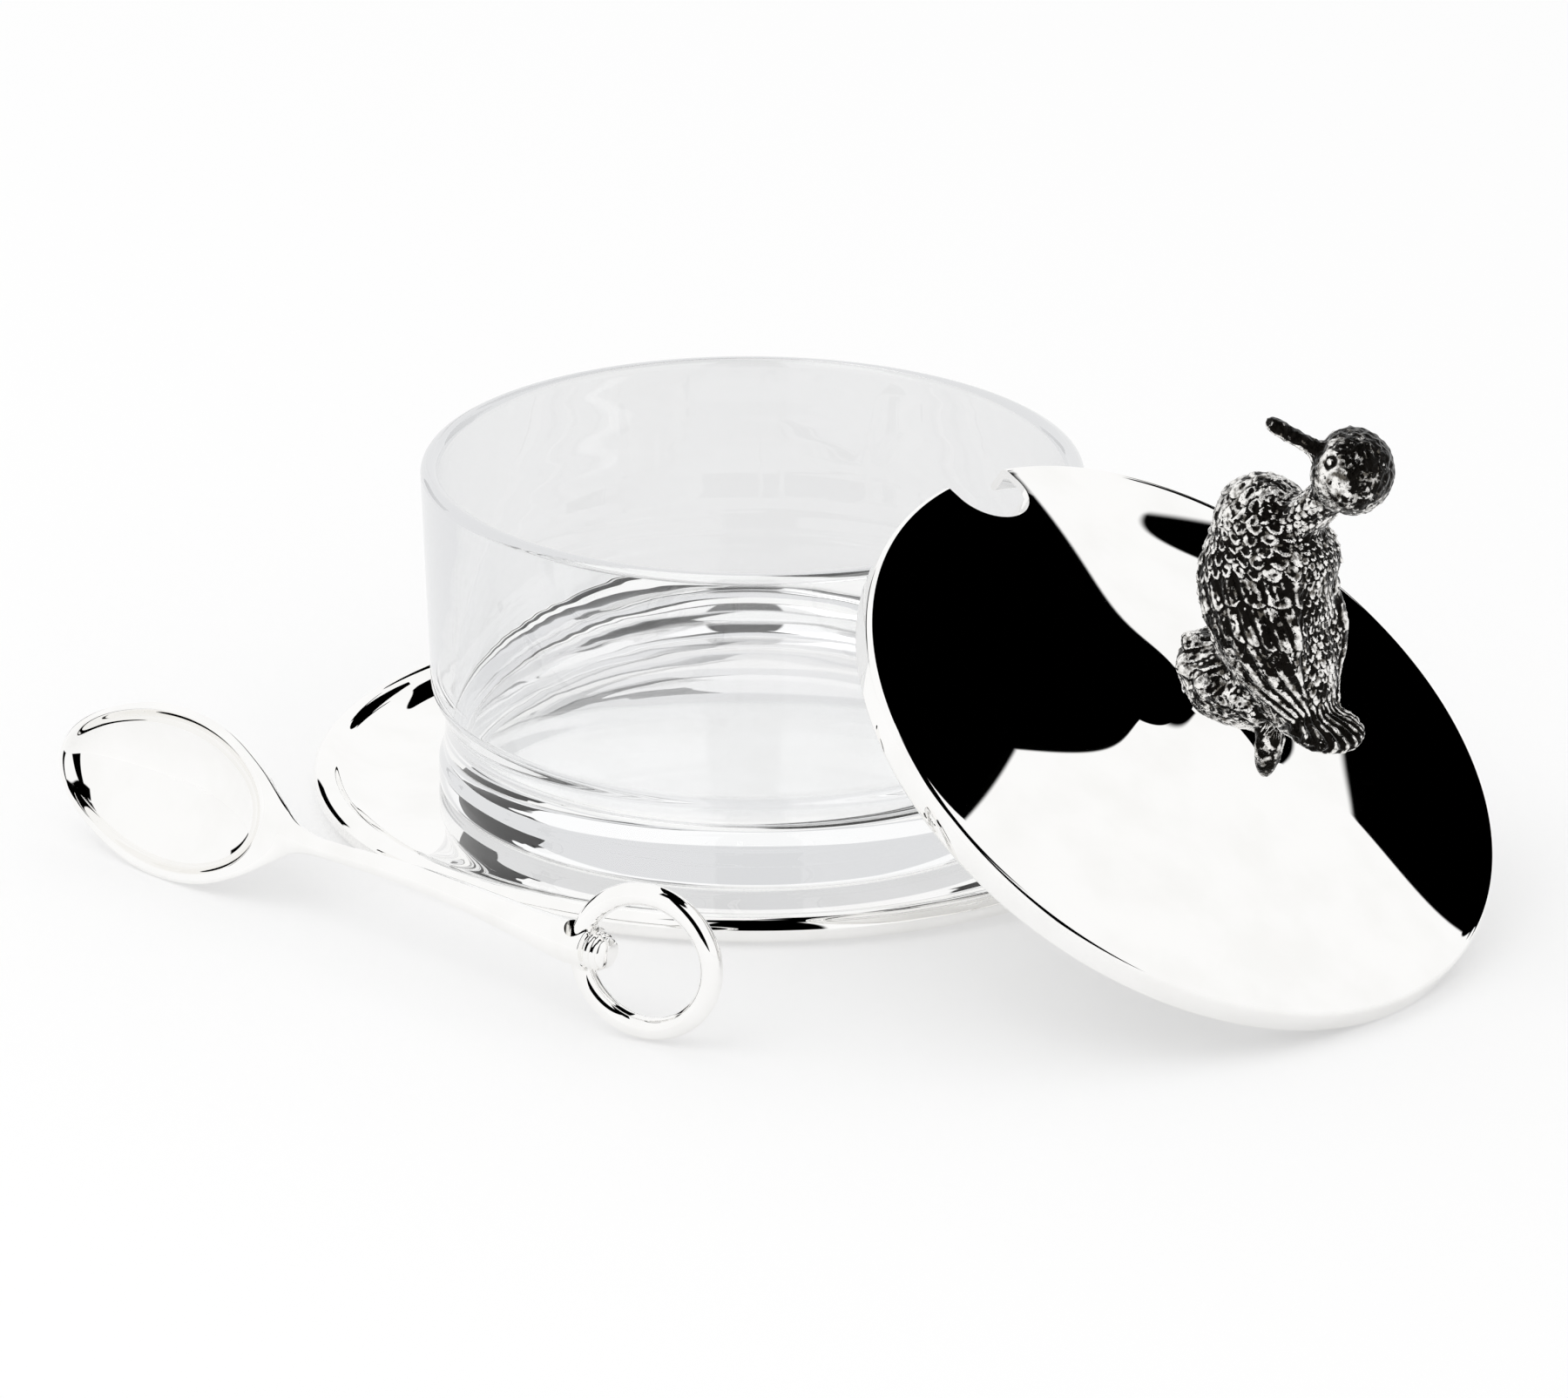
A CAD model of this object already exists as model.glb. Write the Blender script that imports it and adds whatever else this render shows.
# %% [markdown]
# # A marmalade jar in silver and glass
# The set has a round silver saucer, a straight glass jar, a lift-off silver cover with a cast duck
# for a knob, and a silver spoon with a loose ring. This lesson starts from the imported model, which
# gives the frame: where each piece is, and which body it moves with. Every visible piece is then
# made again with smoother surfaces, because polished silver and glass show the smallest facet.

# %% Load the frame
import bpy
import math
import numpy as np
from mathutils import Matrix, Vector, noise


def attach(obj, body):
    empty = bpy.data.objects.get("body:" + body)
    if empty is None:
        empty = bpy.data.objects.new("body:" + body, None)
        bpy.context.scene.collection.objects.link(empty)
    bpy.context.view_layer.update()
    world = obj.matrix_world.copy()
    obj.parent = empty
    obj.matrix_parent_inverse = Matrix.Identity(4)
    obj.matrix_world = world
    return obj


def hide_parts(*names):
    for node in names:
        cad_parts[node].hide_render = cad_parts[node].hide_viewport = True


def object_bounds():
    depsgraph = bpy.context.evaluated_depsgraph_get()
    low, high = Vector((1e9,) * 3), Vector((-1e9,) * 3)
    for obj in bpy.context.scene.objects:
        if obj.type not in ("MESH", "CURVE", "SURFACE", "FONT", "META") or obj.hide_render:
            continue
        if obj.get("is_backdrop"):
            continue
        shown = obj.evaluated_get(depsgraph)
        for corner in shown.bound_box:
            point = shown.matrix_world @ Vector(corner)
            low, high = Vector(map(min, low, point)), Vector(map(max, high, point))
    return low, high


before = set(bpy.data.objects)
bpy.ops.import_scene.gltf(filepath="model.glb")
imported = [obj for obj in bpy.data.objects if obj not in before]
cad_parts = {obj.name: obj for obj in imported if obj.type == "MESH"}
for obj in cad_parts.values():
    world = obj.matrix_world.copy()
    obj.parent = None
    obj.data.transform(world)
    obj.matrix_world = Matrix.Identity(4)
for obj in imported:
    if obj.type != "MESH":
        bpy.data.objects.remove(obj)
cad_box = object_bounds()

# %% [markdown]
# ## Sizes and places
# The sizes are the model's own, in millimetres, and each is named in the cell that first needs it.
# A piece is drawn in its own axes and brought to metres as it is drawn. The cover leans on the jar,
# and the spoon lies on the side of its bowl, so each gets a matrix that carries it to its place.
# They could be turned as objects instead, but the model keeps every place in the mesh.

# %% Where the cover, the spoon and the ring stand
mm = 0.001
eye_turn, ring_swing = 17.0, 21.0
cover_centre, cover_facing, cover_tilt = (68.54, -70.24, 36.37), -39.9, 35.2
spoon_eye, spoon_heading, spoon_lean = (-26.38, -105.71, 13.214), -45.0, 17.0


def stand(centre, x_way, z_way):
    """Matrix that carries a piece from its own axes to its place, in metres."""
    y_way = z_way.cross(x_way)
    turn = Matrix((x_way, y_way, z_way)).transposed().to_4x4()
    return Matrix.Translation(Vector(centre) * mm) @ turn


tilt, facing = math.radians(cover_tilt), math.radians(cover_facing)
outward = Vector((math.cos(facing), math.sin(facing), 0))
cover_normal = outward * math.sin(tilt) + Vector((0, 0, math.cos(tilt)))
cover_uphill = Vector((0, 0, math.sin(tilt))) - outward * math.cos(tilt)
cover_stand = stand(cover_centre, cover_uphill, cover_normal)
heading, lean = math.radians(spoon_heading), math.radians(spoon_lean)
along = Vector((math.cos(heading), math.sin(heading), 0))
spoon_face = Vector((math.sin(heading), -math.cos(heading), 0)) * math.cos(lean)
spoon_face += Vector((0, 0, math.sin(lean)))
spoon_stand = stand(spoon_eye, along, spoon_face)
turned_eye = Matrix.Rotation(math.radians(eye_turn), 4, "X")
swung_ring = Matrix.Rotation(math.radians(ring_swing), 4, "Y")
ring_stand = spoon_stand @ turned_eye @ swung_ring
print("cover faces", [round(v, 3) for v in cover_normal], "spoon eye", spoon_eye)

# %% [markdown]
# ## Camera
# The camera stands in front of the set, 21 degrees above the table. It is far away, with a long
# lens, which is why the rims look like true ellipses. Its place and angles come from fitting the
# rims of the jar, the saucer and the cover to their outlines.

# %% Camera
camera_place = (0.0, -2054.02, 788.03)
camera_angles = (69.38903, -0.32033, -0.0282)
lens_length, sensor_width = 308.063, 36.0
camera_data = bpy.data.cameras.new("camera")
camera_data.lens, camera_data.sensor_width = lens_length, sensor_width
camera_data.clip_start, camera_data.clip_end = 0.1, 50.0
camera = bpy.data.objects.new("camera", camera_data)
camera.location = Vector(camera_place) * mm
camera.rotation_euler = [math.radians(angle) for angle in camera_angles]
bpy.context.scene.collection.objects.link(camera)
bpy.context.scene.camera = camera
bpy.context.scene.view_settings.view_transform = "Standard"
print("camera", [round(v, 3) for v in camera.location])

# %% [markdown]
# ## Writing materials as sums
# A material is a chain of nodes, and long chains are hard to read. The class below wraps one socket,
# so that `1 - mask` or `height * 0.3` adds the Math node it stands for. Every other node comes from
# `node`, which takes the node's type, its settings, and then the values or wires of its sockets.


# %% A wire between nodes
class Wire:
    """A value on its way through a node tree."""

    def __init__(self, tree, socket=None):
        self.tree = tree
        self.socket = socket

    def plug(self, target, value):
        """Join a wire to a socket, or set the socket's own value."""
        if isinstance(value, Wire):
            self.tree.links.new(value.socket, target)
        else:
            target.default_value = value

    def node(self, kind, settings=None, sockets=None, output=0):
        """Add a node and give back one of its outputs."""
        made = self.tree.nodes.new("ShaderNode" + kind)
        for name, setting in (settings or {}).items():
            setattr(made, name, setting)
        for name, value in (sockets or {}).items():
            self.plug(made.inputs[name], value)
        return Wire(self.tree, made.outputs[output])

    def math(self, operation, *values):
        return self.node("Math", {"operation": operation}, dict(enumerate(values)))

    def __add__(self, other):
        return self.math("ADD", self, other)

    def __mul__(self, other):
        return self.math("MULTIPLY", self, other)

    def __sub__(self, other):
        return self.math("SUBTRACT", self, other)

    def __rsub__(self, other):
        return self.math("SUBTRACT", other, self)

    __radd__ = __add__
    __rmul__ = __mul__

    def between(self, low, high):
        """0 below low, 1 above high, and a soft step from one to the other."""
        span = {"Value": self, "From Min": low, "From Max": high}
        return self.node("MapRange", {"interpolation_type": "SMOOTHSTEP"}, span)

    def reached(self, count):
        """1 where this whole number has come up to the count, and 0 below it."""
        return self.between(count - 0.6, count - 0.4)

    def blend(self, first, second):
        """The first colour where this wire is 0, and the second where it is 1."""
        return self.node("Mix", {"data_type": "RGBA"}, {0: self, 6: first, 7: second}, 2)


# %% A new material
def new_material(name):
    """A material with an empty tree, and a wire to start from."""
    material = bpy.data.materials.new(name)
    material.use_nodes = True
    material.node_tree.nodes.clear()
    return material, Wire(material.node_tree)


def finish_material(start, shader):
    """Join the last shader to the material's output."""
    output = start.tree.nodes.new("ShaderNodeOutputMaterial")
    start.tree.links.new(shader.socket, output.inputs["Surface"])
    print("material of", len(start.tree.nodes), "nodes")


# %% [markdown]
# ## The studio
# Polished silver has no look of its own: it shows the room. The room here is a white studio with a
# few black flags, which only mirrored rays see. They give the silver its hard black shapes, while
# the light on everything else stays even and soft. A flag is a patch of sky, from one bearing to
# another and from one height to another, in degrees, with a soft edge and perhaps a slanting side.
# Its place is fixed to the room, not to the camera. One wide flag shows only to mirrored rays that
# have gone through glass as well, and draws the dark lines inside the jar. Black cards on stands
# would do the same, but they would also shade the table and be in the way from other sides.

# %% Which way a ray looks
world = bpy.data.worlds.new("studio")
bpy.context.scene.world = world
world.use_nodes = True
world.node_tree.nodes.clear()
sky = Wire(world.node_tree)
way = sky.node("TexCoord", output="Generated")
way_x, way_y, way_z = [sky.node("SeparateXYZ", {}, {0: way}, axis) for axis in "XYZ"]
bearing = sky.math("DEGREES", sky.math("ARCTAN2", way_y, way_x))
height = sky.math("DEGREES", sky.math("ARCSINE", way_z))
print("sky nodes", len(world.node_tree.nodes))


# %% A flag
def over(edge, value, blur):
    """1 where the value is over the edge, with a soft line between."""
    return (value - edge).between(-blur, blur)


def flag(west, east, low, high, blur):
    """A black patch of sky; each edge is a number, or a wire where the edge slants or curves."""
    across = over(west, bearing, blur) * (1 - over(east, bearing, blur))
    return across * over(low, height, blur) * (1 - over(high, height, blur))


# %% The flags of this studio
horizon = -2.0
left_low = 66.0 - bearing * 0.37
right_low = 60.1 - bearing * 0.36
bulge = sky.math("MAXIMUM", height - 29.0, 0.0)
low_west = bulge * bulge * 0.22 + 30.3
low_top = sky.math("MINIMUM", 43.7 - bearing * 0.30, 33.3)
smear_top = 34.0 - (bearing - 56.8) * (bearing - 56.8) * 0.6
flags = [
    # the lower tip of the black on the cover's left
    flag(8.0, 34.0, left_low, 76.0, 0.15),
    # the large black on the cover's left
    flag(30.5, 80.0, right_low, 89.0, 0.15),
    # overhead: the dark beside the duck's seat, and thin lines along the rims
    flag(-126.0, 75.0, 61.0, 87.0, 2.0),
    # the black on the cover's right
    flag(low_west, 56.0, horizon, low_top, 0.15),
    # a smear near the cover's upper edge
    flag(54.8, 58.3, 20.0, smear_top, 0.3),
    # behind the camera: thin lines on the saucer's bead and on the ring
    flag(-103.0, -71.0, horizon, 88.0, 1.0),
    # low at the left back: the saucer's left edge and the spoon
    flag(118.0, 142.0, horizon, 15.0, 0.6),
]
dark = flags[0]
for patch in flags[1:]:
    dark = sky.math("MAXIMUM", dark, patch)
glass_bounces = sky.node("LightPath", output="Transmission Depth")
behind_camera = flag(-165.0, -15.0, horizon, 26.0, 0.6) * glass_bounces.reached(1)
dark = sky.math("MAXIMUM", dark, behind_camera)
print("flags", len(flags) + 1)

# %% [markdown]
# ## What each kind of ray sees
# The camera and mirrors see the sky at full white, and the flags are cut out of it for mirrors.
# Everything else, such as the light that falls on the set, gets the studio's own level. Glossy
# Depth counts mirror bounces alone, while Is Glossy Ray is also on for a ray that glass has only
# bent, and would show the flags straight through the jar.

# %% What each kind of ray sees
studio_level = 0.86
camera_ray = sky.node("LightPath", output="Is Camera Ray")
diffuse_ray = sky.node("LightPath", output="Is Diffuse Ray")
mirror_bounces = sky.node("LightPath", output="Glossy Depth")
mirrored = mirror_bounces.reached(1) * (1 - diffuse_ray)
shown = sky.math("MINIMUM", camera_ray + mirrored, 1.0)
level = studio_level + shown * (1 - studio_level)
level = level * (1 - mirrored * dark)
light = sky.node("Background", {}, {"Color": (1, 1, 1, 1), "Strength": level})
sky_out = world.node_tree.nodes.new("ShaderNodeOutputWorld")
world.node_tree.links.new(light.socket, sky_out.inputs["Surface"])
print("sky nodes", len(world.node_tree.nodes))

# %% [markdown]
# ## Table and lamp
# The table is a wide pale sheet. Its paint returns most of the light, and a little glow, which only
# the camera, mirrors and glass see, takes it up to white, so it keeps the soft shadow of the set.
# Through the glass the glow is about a third weaker, which greys the jar a little.

# %% Table and lamp
table_size, table_drop = 6.0, 0.00005
table_paint, table_glow, glass_dimming = 0.62, 0.40, 0.36
bpy.ops.mesh.primitive_plane_add(size=table_size, location=(0, 0, -table_drop))
table = bpy.context.object
table.name = "table"
table_material, start = new_material("table_paint")
camera_ray = start.node("LightPath", output="Is Camera Ray")
glossy_ray = start.node("LightPath", output="Is Glossy Ray")
through_ray = start.node("LightPath", output="Is Transmission Ray")
shown = camera_ray + glossy_ray * (1 - through_ray * glass_dimming)
shown = start.math("MINIMUM", shown, 1.0)
paint = start.node("BsdfDiffuse", {}, {"Color": (table_paint, table_paint, table_paint, 1)})
glow = start.node("Emission", {}, {"Color": (1, 1, 1, 1), "Strength": shown * table_glow})
finish_material(start, start.node("AddShader", {}, {0: paint, 1: glow}))
table.data.materials.append(table_material)
table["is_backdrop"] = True

lamp_length, lamp_width, lamp_energy, lamp_place = 1.6, 1.2, 6.0, Vector((-1.0, -0.6, 1.7))
lamp_data = bpy.data.lights.new("soft_lamp", "AREA")
lamp_data.shape, lamp_data.size, lamp_data.size_y = "RECTANGLE", lamp_length, lamp_width
lamp_data.energy = lamp_energy
lamp = bpy.data.objects.new("soft_lamp", lamp_data)
lamp.location = lamp_place
lamp.rotation_euler = lamp_place.to_track_quat("Z", "Y").to_euler()
lamp.visible_glossy = False
bpy.context.scene.collection.objects.link(lamp)
print("table", table_size, "m, lamp", lamp_energy, "W")

# %% [markdown]
# ## Polished silver
# Silver plate is a mirror with a warm tint. A bare mirror could stand for it, but real plate is
# never quite even: the buffing wheel leaves the gloss a little softer in places, and the sheet has
# long shallow waves that bend reflections. So one slow noise goes to the gloss and one to a bump.

# %% Polished silver
silver, start = new_material("silver_plate")
place = start.node("TexCoord", output="Object")
haze = start.node("TexNoise", {}, {"Vector": place, "Scale": 90.0, "Detail": 3.0}, "Fac")
wave = start.node("TexNoise", {}, {"Vector": place, "Scale": 26.0, "Detail": 1.0}, "Fac")
relief = start.node("Bump", {}, {"Height": wave, "Strength": 0.02, "Distance": 0.001}, "Normal")
tone = haze.between(0.35, 0.75).blend((0.975, 0.97, 0.96, 1), (0.94, 0.935, 0.92, 1))
shine = {"Base Color": tone, "Metallic": 1.0, "Roughness": 0.005 + haze * 0.012, "Normal": relief}
finish_material(start, start.node("BsdfPrincipled", {}, shine))

# %% [markdown]
# ## Clear glass
# Pressed glass is clear but not flat: its walls carry faint level ripples from the mould, which
# show as wavering lines where the wall is seen against itself. They could be cut in the mesh, but
# are too shallow to show at its edge, so a bump is enough. Light can bounce many times inside a
# thick base before it leaves. A render gives up on such a ray after a few bounces and paints it
# black, so a ray that has bounced often enough is given the pale grey of the room instead.

# %% Clear glass
glass, start = new_material("pressed_glass")
place = start.node("TexCoord", output="Object")
stretched = start.node("Mapping", {}, {"Vector": place, "Scale": (14.0, 14.0, 150.0)})
ripple = start.node("TexNoise", {}, {"Vector": stretched, "Scale": 1.0, "Detail": 1.0}, "Fac")
relief = start.node("Bump", {}, {"Height": ripple, "Strength": 0.045, "Distance": 0.001}, "Normal")
clear = {"Base Color": (0.994, 0.997, 1.0, 1), "Roughness": 0.0, "IOR": 1.5}
clear.update({"Transmission Weight": 1.0, "Normal": relief})
clear_shader = start.node("BsdfPrincipled", {}, clear)
mirror_limit, bounce_limit, room_grey = 4, 11, (0.74, 0.745, 0.755, 1)
mirror_bounces = start.node("LightPath", output="Glossy Depth")
all_bounces = start.node("LightPath", output="Ray Depth")
many_mirrors, many_bounces = mirror_bounces.reached(mirror_limit), all_bounces.reached(bounce_limit)
spent = start.math("MAXIMUM", many_mirrors, many_bounces)
room = start.node("Emission", {}, {"Color": room_grey, "Strength": 1.0})
finish_material(start, start.node("MixShader", {}, {0: spent, 1: clear_shader, 2: room}))

# %% [markdown]
# ## Antiqued pewter
# The duck is cast, blackened, and rubbed bright again on what stands out. The mesh carries a number
# at each point, `hollow`, which is near 1 in a groove and near 0 on a ridge. The black follows it,
# with blotches and specks added, and a softer tarnish darkens the bright metal between. It could
# be painted on by hand, but worked out from the shape it reaches every groove at once.

# %% Antiqued pewter
pewter, start = new_material("cast_pewter")
place = start.node("TexCoord", output="Object")
hollow = start.node("Attribute", {"attribute_name": "hollow"}, {}, "Fac")
blotch = start.node("TexNoise", {}, {"Vector": place, "Scale": 480.0, "Detail": 5.0}, "Fac")
speck = start.node("TexNoise", {}, {"Vector": place, "Scale": 1500.0, "Detail": 3.0}, "Fac")
stain = start.node("TexNoise", {}, {"Vector": place, "Scale": 800.0, "Detail": 4.0}, "Fac")
black = (hollow + (blotch - 0.5) * 1.3 + (speck - 0.5) * 1.2).between(0.38, 0.52)
tarnish = (hollow * 0.9 + (stain - 0.5) * 2.4).between(0.0, 0.75)
relief = start.node("Bump", {}, {"Height": speck, "Strength": 0.8, "Distance": 0.0004}, "Normal")
worn = tarnish.blend((0.95, 0.935, 0.91, 1), (0.11, 0.10, 0.085, 1))
metal = black.blend(worn, (0.008, 0.007, 0.006, 1))
cast = {"Base Color": metal, "Metallic": 1.0, "Roughness": 0.12 + black * 0.16, "Normal": relief}
finish_material(start, start.node("BsdfPrincipled", {}, cast))

# %% [markdown]
# ## Plain steel
# The screw and washer under the cover are plain turned steel: grey, with fine marks from the tool.
# The marks are too small to model, so they are a bump.

# %% Plain steel
steel, start = new_material("turned_steel")
place = start.node("TexCoord", output="Object")
marks = start.node("TexNoise", {}, {"Vector": place, "Scale": 2500.0, "Detail": 2.0}, "Fac")
relief = start.node("Bump", {}, {"Height": marks, "Strength": 0.2, "Distance": 0.0001}, "Normal")
grey = marks.blend((0.50, 0.50, 0.49, 1), (0.66, 0.66, 0.65, 1))
plain = {"Base Color": grey, "Metallic": 1.0, "Roughness": 0.22 + marks * 0.2, "Normal": relief}
finish_material(start, start.node("BsdfPrincipled", {}, plain))
print("materials", [m.name for m in (silver, glass, pewter, steel)])

# %% [markdown]
# ## Tools for turned pieces
# The saucer, the jar, the cover and its band are all turned shapes. Each starts as an outline: one
# point, extruded step by step as a profile would be drawn by hand, then spun round the axis. A
# cylinder could be pulled into shape instead, but an outline keeps every radius as it was measured.


# %% Lines for outlines
def bow(points, leave, arrive, steps):
    """Points along a smooth curve through the given ones, this many steps to each span."""
    spots = [Vector(point) for point in points]
    spans = [(b - a).length for a, b in zip(spots, spots[1:])]
    slopes = [Vector(leave).normalized()]
    for k in range(1, len(spots) - 1):
        slopes.append((spots[k + 1] - spots[k - 1]) / (spans[k] + spans[k - 1]))
    slopes.append(Vector(arrive).normalized())
    line = [spots[0]]
    for k, span in enumerate(spans):
        for step in range(1, steps + 1):
            t = step / steps
            near, far = (1 + 2 * t) * (1 - t) ** 2, t * t * (3 - 2 * t)
            line.append(
                spots[k] * near
                + spots[k + 1] * far
                + slopes[k] * span * t * (1 - t) ** 2
                + slopes[k + 1] * span * t * t * (t - 1)
            )
    return line


def arc(centre, radius, first, last, steps):
    """Points on a circle from one angle to another, in degrees up from the radius."""
    angles = [math.radians(first + (last - first) * k / steps) for k in range(steps + 1)]
    centre = Vector(centre)
    return [centre + Vector((math.cos(a), math.sin(a))) * radius for a in angles]


# %% Drawing an outline
def pick_only(*pieces):
    """Select these objects and nothing else."""
    bpy.ops.object.select_all(action="DESELECT")
    for piece in pieces:
        piece.select_set(True)
    bpy.context.view_layer.objects.active = pieces[0]


def draw_outline(name, points):
    """One point, extruded along the outline in the upright XZ plane; leaves edit mode on."""
    first = Vector((points[0][0], 0, points[0][1])) * mm
    bpy.ops.object.select_all(action="DESELECT")
    bpy.ops.mesh.primitive_plane_add(size=mm, location=first)
    piece = bpy.context.object
    piece.name = piece.data.name = name
    bpy.ops.object.transform_apply(location=True)
    bpy.ops.object.mode_set(mode="EDIT")
    bpy.ops.mesh.select_mode(type="VERT")
    bpy.ops.mesh.select_all(action="SELECT")
    bpy.ops.mesh.merge(type="CENTER")
    for here, there in zip(points, points[1:]):
        step = Vector((there[0] - here[0], 0, there[1] - here[1])) * mm
        bpy.ops.mesh.extrude_region_move(TRANSFORM_OT_translate={"value": step})
    return piece


# %% Spinning it
join_distance = 0.002


def spin_outline(piece, steps, axis=(0, 0, 1)):
    """Spin the outline into a closed shell with its faces outwards."""
    bpy.ops.mesh.select_all(action="SELECT")
    bpy.ops.mesh.spin(steps=steps, angle=math.tau, center=(0, 0, 0), axis=axis)
    bpy.ops.mesh.select_all(action="SELECT")
    bpy.ops.mesh.remove_doubles(threshold=join_distance * mm)
    bpy.ops.mesh.normals_make_consistent(inside=False)
    bpy.ops.object.mode_set(mode="OBJECT")


# %% Changing and finishing a piece
def apply_modifier(piece, kind, **settings):
    """Give a piece a modifier with these settings, and apply it at once."""
    pick_only(piece)
    modifier = piece.modifiers.new(kind.lower(), kind)
    for name, value in settings.items():
        setattr(modifier, name, value)
    bpy.ops.object.modifier_apply(modifier=modifier.name)


def cut_away(piece, cutter):
    """Cut a piece with a cutter, and throw the cutter away."""
    apply_modifier(piece, "BOOLEAN", operation="DIFFERENCE", solver="EXACT", object=cutter)
    bpy.data.objects.remove(cutter)


def finish_piece(piece, place_matrix, material, body, node, sharp=32.0):
    """Place a piece in its mesh, smooth it, give it its finish and let it ride on its body."""
    pick_only(piece)
    piece.matrix_world = place_matrix @ piece.matrix_world
    bpy.ops.object.transform_apply(location=True, rotation=True, scale=True)
    bpy.ops.object.shade_smooth_by_angle(angle=math.radians(sharp))
    piece.data.materials.clear()
    piece.data.materials.append(material)
    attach(piece, body)
    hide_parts(node)
    low, high = Vector(piece.bound_box[0]), Vector(piece.bound_box[6])
    triangles = sum(len(face.vertices) - 2 for face in piece.data.polygons)
    print(piece.name, triangles, "triangles, size in mm", [round(v / mm, 1) for v in high - low])


# %% [markdown]
# ## Saucer
# The saucer is spun from sheet: flat where the jar stands, then a flare whose edge is rolled over
# into a round bead. The bead catches light and dark as thin lines along the rim, so the flare runs
# smoothly up on to it, and the outline then goes round the whole bead and back under the sheet.
# A disc with a separate round rim would be quicker, but would show a seam between the two.

# %% Saucer
saucer_radius, saucer_sheet, bead_radius, bead_height = 71.8, 1.6, 2.3, 2.7
flat_radius, underside_radius = 55.6, 60.1
bead_circle = saucer_radius - bead_radius
roll_in, roll_out = 100.0, -185.0
bead = arc((bead_circle, bead_height), bead_radius, roll_in, roll_out, 40)
arrive = (math.sin(math.radians(roll_in)), -math.cos(math.radians(roll_in)))
flare = [(flat_radius, saucer_sheet), (63.6, 2.1), (67.0, 3.45), bead[0]]
above = bow(flare, (1, 0), arrive, 12)
below = bow([bead[-1], (underside_radius, 0)], (-1, -0.3), (-1, 0), 20)
saucer_line = [(0, saucer_sheet), *above[:-1], *bead, *below[1:], (0, 0)]
saucer = draw_outline("saucer_dish", saucer_line)
spin_outline(saucer, 240)
finish_piece(saucer, Matrix(), silver, "saucer", "saucer")

# %% [markdown]
# ## Glass jar
# The jar is one thick pressed glass. Its outline starts in the shallow hollow under the foot, goes
# up the outside and over the lip, and comes down inside, so the wall and the heavy base have their
# true thickness. That thickness bends the light into the bands near the bottom, and a thin shell
# that is thickened evenly would not have it.

# %% Glass jar
jar_radius, jar_height, jar_wall, jar_base = 54.0, 54.9, 3.0, 8.9
jar_foot_radius, jar_foot_height, jar_waist_radius, jar_shoulder_radius = 51.1, 4.0, 50.3, 52.4
foot_clearance, kick_depth, kick_radius, floor_round = 0.03, 1.2, 45.6, 3.5
lift = saucer_sheet + foot_clearance
wall_top = jar_height - jar_wall / 2
foot_round = jar_foot_height / 3
waist = bow(
    [
        (jar_foot_radius, jar_foot_height),
        (jar_waist_radius, jar_foot_height + 2.5),
        (jar_waist_radius, 1.4 * jar_base),
        (jar_shoulder_radius, 2 * jar_base),
    ],
    (0, 1),
    (jar_radius - jar_shoulder_radius, wall_top - 2 * jar_base),
    10,
)
lip = arc((jar_radius - jar_wall / 2, wall_top), jar_wall / 2, 0, 180, 14)
corner = (jar_shoulder_radius - jar_wall, jar_base + floor_round)
inner_floor = bow([corner, (corner[0] - floor_round, jar_base)], (-0.05, -1), (-1, 0), 10)
foot = arc((jar_foot_radius - foot_round, foot_round), foot_round, -90, 0, 6)
kick = [(kick_radius * k / 12, kick_depth * (1 - (k / 12) ** 2)) for k in range(13)]
jar_line = [*kick, *foot, *waist, *lip, *inner_floor, (0, jar_base)]
jar = draw_outline("jar_glass", [(x, y + lift) for x, y in jar_line])
spin_outline(jar, 240)
finish_piece(jar, Matrix(), glass, "jar", "glass_jar", 40.0)

# %% [markdown]
# ## Cover
# The cover is a low dome that flares up to a small peak under the duck, with a short flange at its
# edge. The curve is one formula, because a kink between two curves would show in the polish. It is
# drawn and spun in its own axes, cut with a stretched round cutter for the spoon notch, and only
# then laid against the jar.


# %% The cover's curve
cover_radius, flange_round = 56.0, 1.1
dome_rise, peak_rise, peak_spread = 5.2, 4.3, 6.0


def crown(radius):
    """Height of the cover's top at a distance from its axis."""
    edge = cover_radius - flange_round
    dome = dome_rise * (1 - (radius / edge) ** 2)
    peak = peak_rise / (1 + (radius / peak_spread) ** 2) - peak_rise / (1 + (edge / peak_spread) ** 2)
    return dome + peak


print("crown", round(crown(0.0), 2), "mm high at the middle")

# %% The notch
notch_radius, notch_inset, notch_turn = 6.8, 3.6, -3.0


def cut_notch(piece, margin):
    """Cut the half-round spoon notch with a round cutter stretched out past the edge."""
    reach = 2 * notch_radius
    middle = ((cover_radius - notch_inset) * mm, 0, 0)
    size, depth = (notch_radius + margin) * mm, 40 * mm
    bpy.ops.object.select_all(action="DESELECT")
    bpy.ops.mesh.primitive_cylinder_add(vertices=128, radius=size, depth=depth, location=middle)
    cutter = bpy.context.object
    bpy.ops.object.transform_apply(location=True)
    # the outer half moves outwards, and the half that shapes the notch stays round
    for vertex in cutter.data.vertices:
        if vertex.co.x > middle[0] + 0.1 * mm:
            vertex.co.x += reach * mm
    cutter.rotation_euler.z = math.radians(notch_turn)
    bpy.ops.object.transform_apply(rotation=True)
    cut_away(piece, cutter)


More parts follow.
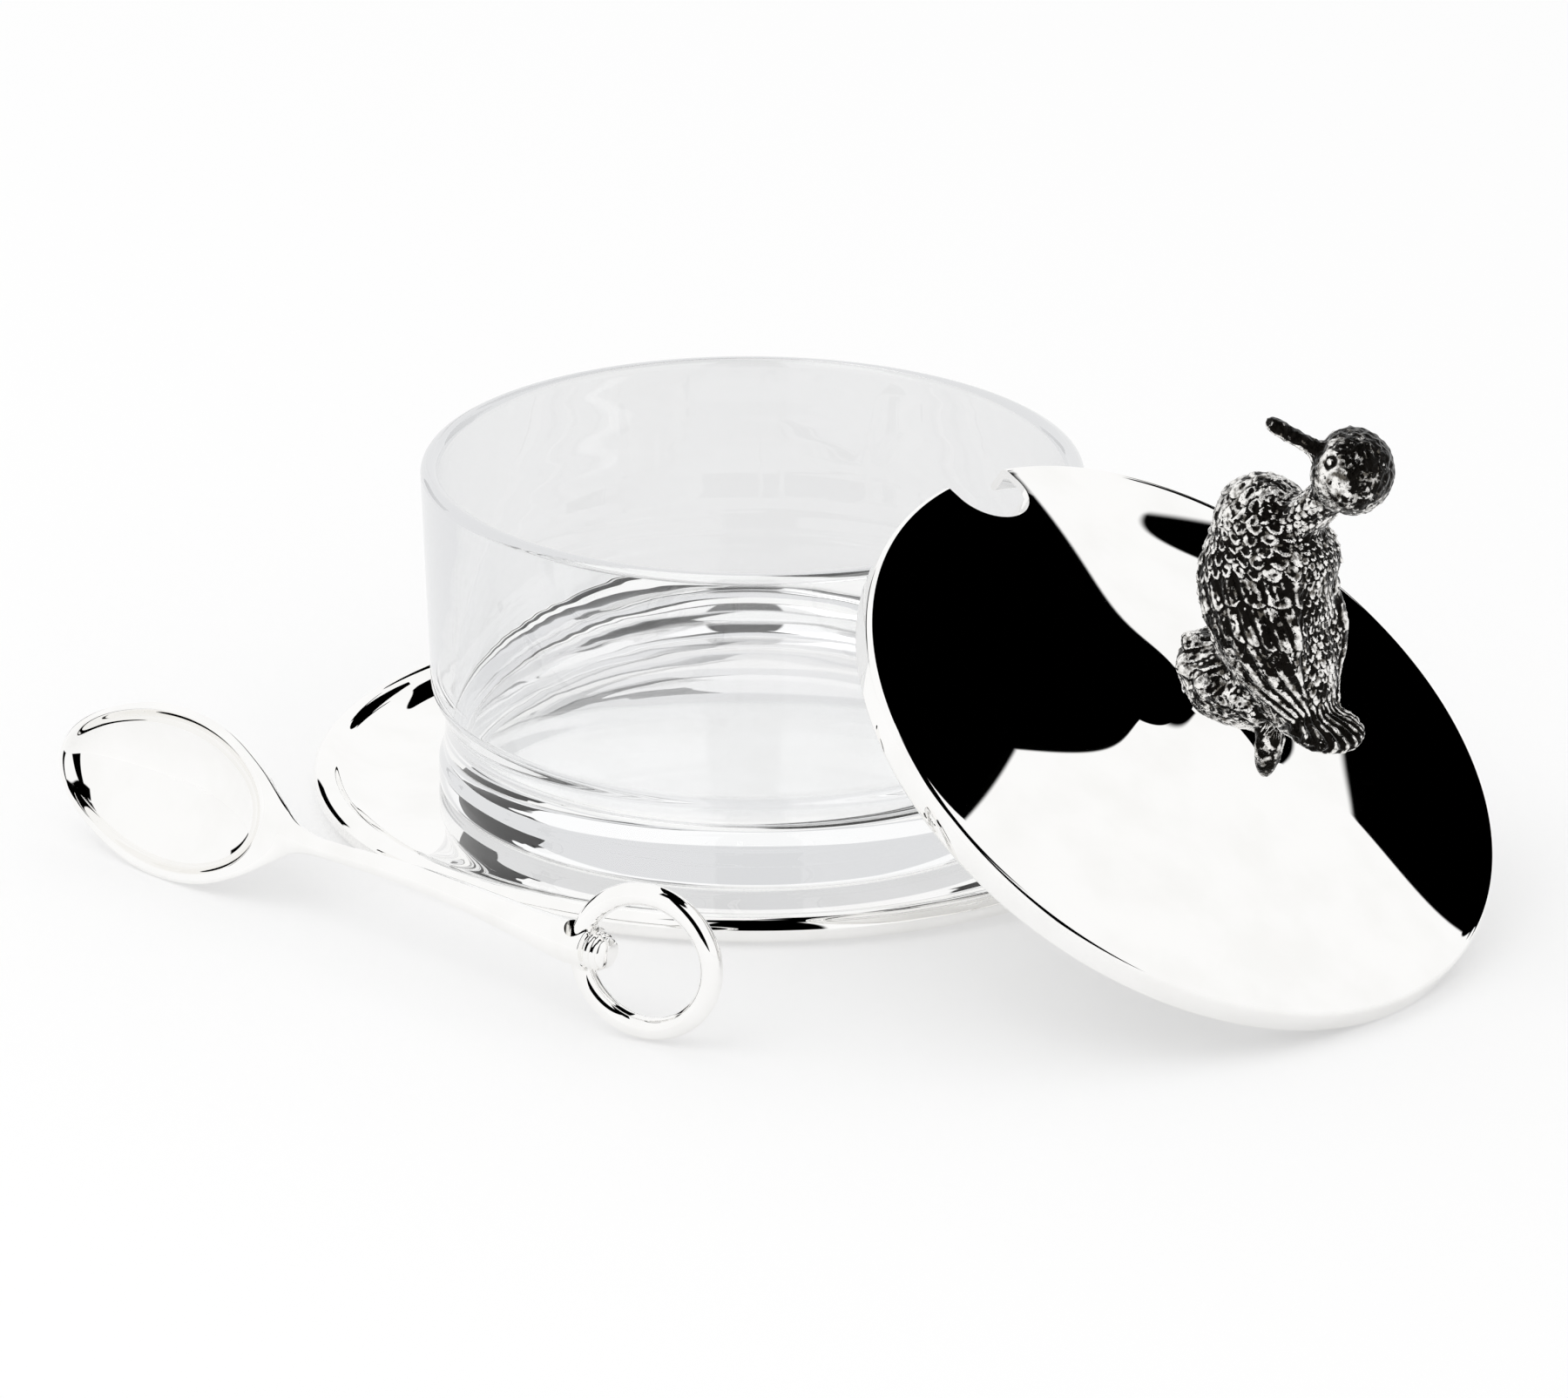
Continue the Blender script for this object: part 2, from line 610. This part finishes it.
# %% Cover shell
cover_sheet, flange_depth, seat_radius, bore_radius = 1.2, 5.0, 4.2, 1.55
edge = cover_radius - flange_round
seat_height = crown(seat_radius)
steps = 72
radii = [seat_radius + (edge - seat_radius) * (k / steps) ** 1.5 for k in range(steps + 1)]
top = [(r, crown(r)) for r in radii]
turn_over = arc((edge, -flange_round), flange_round, 90, 0, 10)[1:]
hem_round = cover_sheet / 2
hem = arc((cover_radius - hem_round, -flange_depth + hem_round), hem_round, 0, -180, 8)
under = [(r, crown(r) - cover_sheet) for r in reversed(radii[:-2])]
cover_line = [(bore_radius, seat_height), *top, *turn_over, *hem]
cover_line += [(cover_radius - cover_sheet, -flange_round), *under]
cover_line += [(bore_radius, seat_height - cover_sheet), (bore_radius, seat_height)]
cover = draw_outline("cover_dome", cover_line)
spin_outline(cover, 288)
cut_notch(cover, 0.0)
finish_piece(cover, cover_stand, silver, "cover", "cover_shell")

# %% [markdown]
# ## Locating band
# Under the cover a plain band drops inside the jar's mouth and keeps the cover in its place. It is
# open at the notch, a little wider than the cover is. A thickened cylinder could stand for it, but
# spun like the cover it gets the small round of its lower edge as well.

# %% Locating band
band_radius, band_depth, notch_play = 50.2, 9.0, 0.8
band_inner = band_radius - cover_sheet
band_round = 0.3
lower = arc((band_inner + band_round, -band_depth + band_round), band_round, 180, 270, 4)
lower += arc((band_radius - band_round, -band_depth + band_round), band_round, -90, 0, 4)
band_line = [*lower, (band_radius, crown(band_radius) - cover_sheet)]
band_line += [(band_inner, crown(band_inner) - cover_sheet), lower[0]]
band = draw_outline("cover_band", band_line)
spin_outline(band, 240)
cut_notch(band, notch_play)
finish_piece(band, cover_stand, silver, "cover", "locating_ring")

# %% [markdown]
# ## Spoon
# A cast spoon flows from bowl to handle without an edge, which is what a subdivision surface does
# by itself. The cage of the bowl is a circle, extruded ring by ring: round the outside, over the
# rim and down inside. Its rim is egg-shaped and its hollow stops short of the neck, so the rings
# take their shape from two outlines, one of the rim and one of the hollow. The end faces are pulled
# out for the neck. The handle is a turned trumpet with a ribbed tip that the ring passes through.

# %% Outlines of the rim and of the hollow, half of each, from the neck to the tip
rim_outline = (
    (24.0, 0), (23.6, 3.2), (21.9, 6.3), (18.9, 8.4), (15.3, 10.25), (11.3, 12.1), (6.8, 13.3),
    (2.0, 13.9), (-2.9, 13.95), (-7.7, 13.4), (-12.2, 12.2), (-16.3, 10.7), (-20.0, 8.95),
    (-23.1, 7.0), (-25.5, 4.9), (-27.0, 2.5), (-27.6, 0),
)
hollow_outline = (
    (19.6, 0), (19.3, 2.4), (18.2, 4.8), (16.3, 7.0), (13.6, 8.9), (10.3, 10.5), (6.4, 11.7),
    (2.0, 12.4), (-2.7, 12.5), (-7.3, 12.05), (-11.6, 11.1), (-15.6, 9.8), (-19.3, 8.2),
    (-22.3, 6.4), (-24.6, 4.4), (-26.0, 2.2), (-26.6, 0),
)
spokes = 2 * (len(rim_outline) - 1)
rim_middle, hollow_middle = -2.0, -3.6
print("spokes in each ring", spokes)


def bowl_ring(outline, middle, share, height):
    """Points of one ring of the cage: the outline drawn in to a share of its size."""
    points = []
    for spoke in range(spokes):
        x, y = outline[min(spoke, spokes - spoke)]
        side = 1 if spoke <= spokes / 2 else -1
        points.append(Vector((middle + (x - middle) * share, side * y * share, height)))
    return points


# %% Bowl cage
bowl_depth, bowl_sheet = 8.0, 1.3
rings = []
for share in (0.12, 0.34, 0.56, 0.76, 0.90, 0.975):
    height = -bowl_depth * math.sqrt(1 - share ** 2)
    rings.append(bowl_ring(rim_outline, rim_middle, share, height))
rings.append(bowl_ring(rim_outline, rim_middle, 1.0, -0.5))
rings.append(bowl_ring(rim_outline, rim_middle, 0.995, 0.02))
rings.append(bowl_ring(hollow_outline, hollow_middle, 1.01, 0.0))
rings.append(bowl_ring(hollow_outline, hollow_middle, 0.99, -0.6))
for share in (0.955, 0.88, 0.74, 0.54, 0.32, 0.11):
    height = -(bowl_depth - bowl_sheet) * math.sqrt(1 - share ** 2)
    rings.append(bowl_ring(hollow_outline, hollow_middle, share, height))


def move_ring(piece, before, after):
    """Move each selected point from its place in one ring to the same spoke of another."""
    bpy.ops.object.mode_set(mode="OBJECT")
    for vertex in piece.data.vertices:
        if vertex.select:
            spoke = min(range(spokes), key=lambda k: (before[k].xy * mm - vertex.co.xy).length)
            vertex.co = after[spoke] * mm
    bpy.ops.object.mode_set(mode="EDIT")


bpy.ops.object.select_all(action="DESELECT")
bpy.ops.mesh.primitive_circle_add(vertices=spokes, radius=mm, fill_type="NGON")
bowl = bpy.context.object
bowl.name = bowl.data.name = "spoon_bowl"
turns = [math.tau * k / spokes for k in range(spokes)]
circle = [Vector((math.cos(turn), math.sin(turn))) for turn in turns]
bpy.ops.object.mode_set(mode="EDIT")
bpy.ops.mesh.select_all(action="SELECT")
move_ring(bowl, circle, rings[0])
bpy.ops.mesh.select_mode(type="EDGE")
for before, after in zip(rings, rings[1:]):
    bpy.ops.mesh.extrude_region_move()
    move_ring(bowl, before, after)
bpy.ops.object.mode_set(mode="OBJECT")
print("bowl cage", len(bowl.data.vertices), "points")

# %% Neck and handle line: each station is its place, half width, half height and rise
spoon_reach = 94.0
handle_start, handle_shoulder = -spoon_reach + 30.0, -32.0
handle_line = bow(
    [(handle_start, 1.45), (handle_shoulder, 2.05), (-13.7, 2.75), (-2.6, 3.5), (2.2, 3.7)],
    (1, 0.01),
    (1, 0.02),
    24,
)
neck_stations = (
    (24.6, 4.4, 1.0, -0.85),
    (26.4, 3.1, 1.15, -0.75),
    (28.8, 2.15, 1.3, -0.55),
    (32.4, 1.55, 1.42, -0.25),
    (38.0, 1.5, 1.5, -0.05),
    (44.0, 1.62, 1.62, 0.0),
)
# A smoothed cage draws in, so its sections are made a little larger
neck_end, cage_swell = neck_stations[-1][0], 1.047
print("handle line", len(handle_line), "points, neck ends at", neck_end)


def pull_neck(piece):
    """Extrude the end faces of the rim and shape each new loop as a round section."""
    pick_only(piece)
    bpy.ops.object.mode_set(mode="EDIT")
    bpy.ops.mesh.select_all(action="DESELECT")
    bpy.ops.mesh.select_mode(type="FACE")
    bpy.ops.object.mode_set(mode="OBJECT")
    for face in piece.data.polygons:
        middle = face.center / mm
        face.select = middle.x > 20.0 and abs(middle.y) < 6.3 and -1.9 < middle.z < -0.05
    print("neck grows from", sum(face.select for face in piece.data.polygons), "faces")
    for x, half_width, half_height, rise in neck_stations:
        bpy.ops.object.mode_set(mode="EDIT")
        bpy.ops.mesh.extrude_region_move(TRANSFORM_OT_translate={"value": (0.5 * mm, 0, 0)})
        bpy.ops.object.mode_set(mode="OBJECT")
        # the end is 15 points: five columns across, each of three from below to above
        order = sorted((v for v in piece.data.vertices if v.select), key=lambda v: v.co.y)
        columns = [sorted(order[k:k + 3], key=lambda v: v.co.z) for k in range(0, 15, 3)]
        for across, column in zip(range(-2, 3), columns):
            for up, vertex in zip((-1, 0, 1), column):
                if abs(across) == 2 or up:
                    angle = math.radians(90 - 30 * across) if up else math.radians(90 - 45 * across)
                    angle = angle if up >= 0 else -angle
                    y, z = math.cos(angle), math.sin(angle)
                else:
                    y, z = across * 0.45, 0.0
                spot = (x, y * half_width * cage_swell, rise + z * half_height * cage_swell)
                vertex.co = Vector(spot) * mm


pull_neck(bowl)

# %% Smooth the bowl and neck
apply_modifier(bowl, "SUBSURF", levels=3, render_levels=3)
bowl.matrix_world = Matrix.Translation((-spoon_reach * mm, 0, 0))
bpy.ops.object.transform_apply(location=True)
print("bowl and neck", len(bowl.data.polygons), "faces")

# %% Handle
handle_tip = 6.2
collar, collar_edge = handle_line[-1], 0.35
neck_overlap = neck_end - 2.0 - spoon_reach
shaft = [spot for spot in handle_line if spot[0] > neck_overlap]
rolled = arc((collar[0], collar[1] - collar_edge), collar_edge, 90, 0, 4)[1:]
ribs = [(2.65, 2.75), (3.05, 2.85), (3.4, 3.15), (3.75, 2.85), (4.1, 2.75), (4.45, 3.0), (4.8, 2.65)]
ribs += [(5.15, 2.45), (5.5, 2.5), (5.85, 2.1), (6.1, 1.3)]
tip = bow([*ribs, (handle_tip, 0)], (0, -1), (0, -1), 4)
handle_outline = [(neck_overlap, 0), (neck_overlap, shaft[0][1]), *shaft, *rolled, *tip]
handle_outline += [(neck_overlap, 0)]
handle = draw_outline("spoon_handle", handle_outline)
spin_outline(handle, 128, axis=(1, 0, 0))
print("handle", len(handle.data.polygons), "faces")

# %% Eye through the tip
eye_radius, eye_length, edge_round, sliver_distance = 2.804, 16.0, 0.15, 0.0005
bpy.ops.object.select_all(action="DESELECT")
bpy.ops.mesh.primitive_cylinder_add(vertices=96, radius=eye_radius * mm, depth=eye_length * mm)
eye = bpy.context.object
eye.matrix_world = turned_eye @ Matrix.Rotation(math.radians(90), 4, "X")
cut_away(handle, eye)
apply_modifier(handle, "BEVEL", width=edge_round * mm, segments=3, angle_limit=math.radians(40))
# The cut and the bevel leave slivers where the eye breaks through, so their points are merged
bpy.ops.object.mode_set(mode="EDIT")
bpy.ops.mesh.select_all(action="SELECT")
bpy.ops.mesh.remove_doubles(threshold=sliver_distance * mm)
bpy.ops.object.mode_set(mode="OBJECT")
print("handle with its eye", len(handle.data.polygons), "faces")

# %% Bend the spoon's line a little, as it was bent by hand
pick_only(bowl, handle)
bpy.ops.object.join()
bend_start, bend_height, end_rise, spoon_rise = -70.0, 1.2, 0.5, 0.25
for vertex in bowl.data.vertices:
    share = max(0.0, 1 - vertex.co.x / mm / bend_start)
    vertex.co.y += (bend_height * math.sin(math.pi * share) ** 2 + end_rise * share ** 3) * mm
# This bowl is a little wider than the model's, so the spoon is raised to stand on the table
on_table = Matrix.Translation((0, 0, spoon_rise * mm)) @ spoon_stand
finish_piece(bowl, on_table, silver, "spoon", "spoon")

# %% [markdown]
# ## Ring
# The ring is round wire bent into a loop. The section is drawn as a circle and spun round the
# loop's centre, a little flatter on its inner side where it has worn against the eye. A torus is
# quicker, but is round on every side.

# %% Ring
wire_radius, wire_circle, wire_wear = 1.85, 11.15, 0.05
ring_section = []
for k in range(49):
    angle = math.radians(k * 7.5)
    wear = wire_wear * max(0.0, -math.cos(angle)) ** 3
    reach = wire_radius - wear
    ring_section.append((wire_circle + reach * math.cos(angle), reach * math.sin(angle)))
ring = draw_outline("spoon_loop", ring_section)
spin_outline(ring, 192)
ring.matrix_world = Matrix.Translation((wire_circle * mm, 0, 0))
finish_piece(ring, ring_stand, silver, "ring", "spoon_ring")

# %% [markdown]
# ## Duck
# The duck is a solid casting. Its mass is built from rounded lumps in its own axes: x towards the
# breast, y to its left, z away from the cover. They are fused by a voxel remesh and smoothed, and
# the feathers are then raised from the surface by a height worked out at every point. Brushes are
# the usual way to sculpt it, but lumps and formulas can be written down and changed.

# %% Lumps of the body: centre, half sizes, pitch up and turn to the left in degrees
lumps = {
    "body": ((0, 0, 20.6), (18.4, 9.2, 9.6), 28, 0),
    "breast": ((9.2, 0, 32.1), (9.4, 7.5, 9.0), 0, 0),
    "mantle": ((3.4, 0, 31.8), (7.8, 8.2, 7.0), 0, 0),
    "back": ((-1.2, 0, 27.4), (9.6, 7.4, 5.6), 48, 0),
    "belly": ((-0.9, 0, 7.5), (10.1, 8.8, 7.0), -10, 0),
    "rump": ((-11.2, 0, 14.4), (8.4, 6.6, 5.2), 10, 0),
    "tail": ((-18.3, 0, 14.4), (6.4, 6.9, 2.9), -22, 0),
    "neck": ((5.1, 0, 41.0), (3.4, 4.8, 10.8), 10, 0),
    "head": ((3.7, -0.4, 52.3), (6.7, 7.4, 6.5), 0, 32),
    "bill": ((11.9, 4.8, 52.7), (6.4, 1.7, 1.4), 0, 32),
    "bill_tip": ((15.1, 6.8, 52.75), (2.6, 1.9, 1.35), 4, 32),
    "foot": ((-12.1, 0, 4.2), (2.4, 2.3, 6.6), -26, 0),
    "seat": ((0, 0, 2.5), (4.2, 4.2, 5.0), 0, 0),
}
for turn, name in ((1, "left"), (-1, "right")):
    lumps[name + "_wing"] = ((1.0, 4.9 * turn, 22.5), (14.4, 4.9, 9.2), 28, 0)
    tufts = ((6.4, 4.6, 9.6), (3.8, 7.4, 7.4), (-0.8, 8.3, 8.6), (-5.6, 6.6, 10.2), (-8.8, 4.8, 9.9))
    for number, (x, y, z) in enumerate(tufts):
        lumps[f"{name}_tuft_{number}"] = ((x, y * turn, z), (2.4, 2.0, 1.9), 20, 0)


def add_lump(centre, sizes, pitch, yaw):
    """A stretched ball, tipped up by its pitch and turned left by its yaw."""
    bpy.ops.mesh.primitive_uv_sphere_add(
        segments=64,
        ring_count=32,
        radius=mm,
        location=Vector(centre) * mm,
        rotation=(0, -math.radians(pitch), math.radians(yaw)),
        scale=sizes,
    )
    return bpy.context.object


pick_only(*[add_lump(*lump) for lump in lumps.values()])
bpy.ops.object.join()
duck = bpy.context.object
duck.name = duck.data.name = "duck_casting"
bpy.ops.object.transform_apply(location=True, rotation=True, scale=True)
print("lumps", len(lumps))

# %% Fuse and smooth
voxel = 0.5
apply_modifier(duck, "REMESH", mode="VOXEL", voxel_size=voxel * mm)
apply_modifier(duck, "SMOOTH", factor=0.5, iterations=14)
apply_modifier(duck, "SUBSURF", levels=1, render_levels=1)
print("duck", len(duck.data.vertices), "points", len(duck.data.polygons) * 2, "triangles")

# %% [markdown]
# ## Feathers
# A modeller would press each feather into the wax with a small tool. The same marks are made here by
# moving every point of the fused body along its normal, by a height that depends on where the point
# lies: how far along the body it is, and how far round it. Each kind of feather is one formula, and
# each part of the body takes the kind that the real casting shows there.

# %% Where each point of the duck lies
body_pitch, body_middle, girth = 28.0, (-1.0, 0.0, 21.5), 11.0
spots = np.empty(3 * len(duck.data.vertices))
duck.data.vertices.foreach_get("co", spots)
spots = spots.reshape(-1, 3) / mm
normals = np.empty(3 * len(duck.data.vertices))
duck.data.vertices.foreach_get("normal", normals)
normals = normals.reshape(-1, 3)
x, y, z = spots.T
from_middle = spots - body_middle
pitch_cos, pitch_sin = math.cos(math.radians(body_pitch)), math.sin(math.radians(body_pitch))
ahead = from_middle[:, 0] * pitch_cos + from_middle[:, 2] * pitch_sin
above = from_middle[:, 2] * pitch_cos - from_middle[:, 0] * pitch_sin
round_back = np.degrees(np.arctan2(np.abs(y), above))
across_back = np.radians(round_back) * girth
print("points lie", round(float(ahead.min()), 1), "to", round(float(ahead.max()), 1), "mm ahead")


# %% Kinds of feather
def soft(value, low, high):
    """0 below low, 1 above high, and a soft step between."""
    share = np.clip((value - low) / (high - low), 0, 1)
    return share * share * (3 - 2 * share)


def fleck(row, column):
    """A steady scatter from -0.5 to 0.5, one value for each feather."""
    return np.modf(np.abs(np.sin(row * 12.99 + column * 78.23)) * 437.5)[0] - 0.5


def scales(along, across, length, width, last=1e6, hollowed=0.0):
    """Height of overlapping round-tipped scales, 1 at a tip, in rows across the way they point."""
    top = np.zeros_like(along)
    for overlap in (0, 1):
        row = np.floor(along / length) - overlap
        place = across / width - 0.5 * (row % 2)
        column = np.round(place)
        edge = 2 * (place - column) + 0.25 * fleck(column, row)
        share = (along / length - row) / 2 + 0.06 * fleck(row, column)
        dimple = np.exp(-(((share - 0.70) / 0.14) ** 2) - (edge / 0.45) ** 2)
        height = share * (1 - 0.45 * edge ** 4) - hollowed * dimple
        drawn = (share < 1 - 0.40 * edge ** 2) & (row <= last)
        top = np.where(drawn, np.maximum(top, height), top)
    return top


def quills(across, width, flat=0.55):
    """Side to side place in a long feather, -1 to 1, and the groove past its flat part."""
    edge = 2 * (across / width - np.round(across / width))
    return edge, soft(np.abs(edge), flat, 0.97)


# %% Where the wing's feathers lie
# Two rows end, and the wing begins, this far ahead at each angle round the back
covert_line = np.interp(round_back, (24, 39, 55, 71, 90), (1.0, 2.1, 3.1, 4.9, 5.1))
second_line = np.interp(round_back, (41, 56.5, 72, 92, 123), (-4.9, -4.0, -2.2, -0.24, 0.9))
shoulder_line = np.interp(round_back, (39, 51, 74, 100, 128), (15.5, 17.2, 18.7, 16.5, 9.0))
# The wing's upper and lower edges are angles round the back, for each place ahead
spine_edge = np.interp(ahead, (-14.6, -7.2, 0.55, 11.6), (46, 37, 23, 16))
lower_edge = np.interp(ahead, (-14, -6.3, -1.1, 8), (92, 116, 124, 128))
print("wing from", round(float(spine_edge.min())), "to", round(float(lower_edge.max())), "degrees")

# %% Long feathers of the wing, in three rows
edge, groove = quills(across_back, 3.9)
reach = covert_line - 0.9 * (1 - edge ** 2) + 0.5
coverts = 0.08 + 0.46 * np.clip((covert_line + 5.5 - ahead) / 6, 0, 1) - 0.34 * groove
coverts += 0.10 * np.exp(-((edge / 0.14) ** 2))
on_coverts = ahead > reach

edge, groove = quills(across_back + 0.7, 2.5, 0.45)
reach = second_line - 0.8 * (1 - edge ** 2) + 0.4
seconds = 0.05 + 0.42 * np.clip((covert_line - ahead) / 6, 0, 1) - 0.36 * groove + 0.08 * edge
on_seconds = ahead > reach

# The last row sweeps back, so its grooves lean more the farther back they are
past = np.clip(-3 - ahead, 0, 14) ** 2
swept = (round_back - 0.0885 * past) / (1 - 0.0027 * past)
edge, groove = quills(np.radians(swept) * girth + 0.8, 3.2, 0.35)
flights = 0.10 + 0.30 * np.clip((second_line - ahead) / 12, 0, 1) - 0.62 * groove + 0.12 * edge
flights += 0.08 * np.exp(-((edge / 0.16) ** 2))

# %% The whole wing, with its small feathers
wing = np.where(on_coverts, coverts, np.where(on_seconds, seconds, flights))
row_length = 1.9
row_place = 8 * row_length + 4.2 - (ahead - covert_line)
small = 0.66 * scales(row_place, across_back, row_length, 2.5, last=6, hollowed=0.40)
wing = np.maximum(wing, small)
wing_part = soft(round_back, spine_edge - 1.5, spine_edge + 1.5)
wing_part *= 1 - soft(round_back, lower_edge - 2, lower_edge + 2)
wing_part *= soft(ahead, -17.2, -16.0) * (1 - soft(ahead, shoulder_line - 0.25, shoulder_line + 0.25))
wing_lift = 0.5 * soft(round_back, spine_edge - 1, spine_edge + 6) * soft(shoulder_line - ahead, 0, 5)
print("wing points", int((wing_part > 0.5).sum()))

# %% Breast, back, neck and belly
lumpy = np.array([noise.noise(Vector(spot) * 0.42) for spot in spots])
fine = np.array([noise.noise(Vector(spot) * 1.1) for spot in spots])
neck_root, neck_round = (4.6, 34.5), 6.4
around_neck = np.arctan2(y, x - neck_root[0])
from_neck = np.hypot(np.hypot(x - neck_root[0], y), 1.3 * np.minimum(z - neck_root[1], 0))
breast = 0.62 * scales(from_neck, around_neck * neck_round, 1.55, 2.1, hollowed=0.50)
strip = 0.52 * scales(30 - ahead + 0.5 * lumpy, y, 1.35, 1.5, hollowed=0.15)
throat = 0.40 * scales(50 - z, around_neck * 4.4, 1.25, 1.5)
fluff = 0.40 * scales(12 - ahead + 0.8 * lumpy, across_back + 1.5 * lumpy, 2.0, 2.3, hollowed=0.15)
fluff += 0.45 * lumpy
print("scales stand up to", round(float(breast.max()), 2), "mm on the breast")

# %% Tail fan
tail_root = -10.5
fan = np.degrees(np.arctan2(y, tail_root - x))
out_from_root = np.hypot(x - tail_root, y)
edge, groove = quills(fan + 1.4 * (out_from_root - 6), 8.6, 0.12)
tail_feathers = 0.30 - 0.62 * groove
tail_part = soft(-ahead, 14.6, 16.4)
print("tail points", int((tail_part > 0.5).sum()))

# %% Head, eyes and bill
head_centre, head_turn = np.array((3.7, -0.4, 52.3)), math.radians(32)
on_head = spots - head_centre
bill_way = on_head[:, 0] * math.cos(head_turn) + on_head[:, 1] * math.sin(head_turn)
head_side = on_head[:, 1] * math.cos(head_turn) - on_head[:, 0] * math.sin(head_turn)
head_up = on_head[:, 2]
head_part = soft(z, 45.2, 47.2)
bill_part = soft(bill_way, 6.2, 7.0) * head_part
eye_place, eye_size = (4.3, 4.0, 2.5), 0.5
from_eye = np.sqrt(
    (bill_way - eye_place[0]) ** 2
    + (np.abs(head_side) - eye_place[1]) ** 2
    + (head_up - eye_place[2]) ** 2
)
head_marks = 0.26 * np.exp(-((from_eye / eye_size) ** 2))
head_marks -= 0.30 * np.exp(-(((from_eye - 2 * eye_size) / 0.32) ** 2))
head_marks += 0.16 * np.exp(-(((from_eye - 3.3 * eye_size) / 0.5) ** 2))
mouth = head_up + 0.35
bill_marks = -0.38 * np.exp(-((mouth / 0.26) ** 2))
nostril = np.hypot(bill_way - 9.0, 1.4 * (head_up - 0.85))
bill_marks -= 0.35 * np.exp(-((nostril / 0.55) ** 2))
root_groove = -0.35 * np.exp(-(((bill_way - 6.3) / 0.45) ** 2)) * head_part
head_marks += 0.16 * lumpy + 0.10 * fine + root_groove
print("head points", int((head_part > 0.5).sum()), "bill points", int((bill_part > 0.5).sum()))

# %% Raise the feathers
height = fluff.copy()
upper_body = 1 - soft(round_back, lower_edge - 2, lower_edge + 2)
back_part = upper_body * (1 - soft(ahead, 13.6, 14.2))
height += back_part * (strip - height)
breast_part = soft(ahead, shoulder_line - 0.5, shoulder_line - 0.2)
breast_part = np.maximum(breast_part, soft(ahead, 13.6, 14.2) * (round_back < 42))
breast_part = np.maximum(breast_part, soft(x, 7.0, 9.0) * soft(z, 13.0, 17.0))
height += breast_part * (breast - height)
height += wing_part * (wing + wing_lift - height)
height += tail_part * (tail_feathers - height)
neck_part = soft(z, 38.0, 39.5) * soft(9.5 - np.hypot(x - 5, y), 0, 1.5)
height += neck_part * (throat - height)
height += head_part * (head_marks - height)
height += bill_part * (bill_marks + 0.05 * fine - height)
foot_part = (1 - soft(z, 5.5, 8.0)) * soft(-x, 6.5, 8.5)
height += foot_part * (0.10 * np.sin(y * 4.0) + 0.05 * fine - height)
seat_part = 1 - soft(z, 0.6, 1.8)
height *= 1 - seat_part
height += (0.16 * fine - 0.40 * (1 - head_part) * (1 - foot_part)) * (1 - seat_part)
raised = spots + normals * height[:, None]
duck.data.vertices.foreach_set("co", (raised * mm).ravel())
duck.data.update()
print("feather heights", round(float(height.min()), 2), "to", round(float(height.max()), 2), "mm")

# %% Find the hollows
ends = np.empty(2 * len(duck.data.edges), dtype=int)
duck.data.edges.foreach_get("vertices", ends)
near, far = ends.reshape(-1, 2).T
neighbours = np.bincount(near, minlength=len(spots)) + np.bincount(far, minlength=len(spots))


def smoothed(places, rounds):
    """The points after each has moved halfway to its neighbours' middle, many times over."""
    for _ in range(rounds):
        middle = np.empty_like(places)
        for axis in range(3):
            sums = np.bincount(near, places[far, axis], len(places))
            sums += np.bincount(far, places[near, axis], len(places))
            middle[:, axis] = sums / neighbours
        places = (places + middle) / 2
    return places


step_one = smoothed(raised, 5)
step_two = smoothed(step_one, 40)
sunk_fine = ((step_one - raised) * normals).sum(axis=1)
sunk_wide = ((step_two - raised) * normals).sum(axis=1)
hollow = 0.47 + 3.6 * sunk_fine + 1.0 * sunk_wide + 0.45 * lumpy
crown_part = soft(head_up - 0.45 * bill_way, 1.0, 3.2) * head_part * (1 - bill_part)
hollow += 0.24 * crown_part + (0.5 * fine + 0.02) * head_part * (1 - bill_part)
hollow += 0.7 * (soft(head_up, 0.1, 0.6) - 0.35) * bill_part
hollow += 0.10 * back_part * (1 - head_part) + 0.04 * wing_part
hollow += 0.42 * tail_part - 0.22 * foot_part
shade_layer = duck.data.attributes.new("hollow", "FLOAT", "POINT")
shade_layer.data.foreach_set("value", np.clip(hollow, 0, 1).astype(np.float32))
print("dark share", round(float((hollow > 0.5).mean()), 2))

# %% Set the duck on the cover
duck_place = cover_stand @ Matrix.Translation((0, 0, seat_height * mm))
finish_piece(duck, duck_place, pewter, "cover", "duck_finial", 180.0)
duck.visible_glossy = False

# %% [markdown]
# ## Screw and washer
# These two keep the model's own shapes, which are right as they are, and take the steel. Like the
# duck, they are left out of mirrors, or the screw inside the duck would show in the cover.

# %% Screw and washer
small_parts = ("finial_screw", "finial_washer")
for name in small_parts:
    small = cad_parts[name]
    if not small.data.materials:
        small.data.materials.append(steel)
    for index in range(len(small.data.materials)):
        small.data.materials[index] = steel
    small.visible_glossy = False
print("steel pieces", len(small_parts))

# %% [markdown]
# ## Check the size
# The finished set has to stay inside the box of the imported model, give or take about 3% of each
# side, so both boxes are written down.

# %% Write both boxes and finish
visual_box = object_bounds()
boxes = {"cad": [list(corner) for corner in cad_box], "visual": [list(corner) for corner in visual_box]}
for name, (low, high) in boxes.items():
    print(name, [round(v / mm, 1) for v in low], [round(v / mm, 1) for v in high])
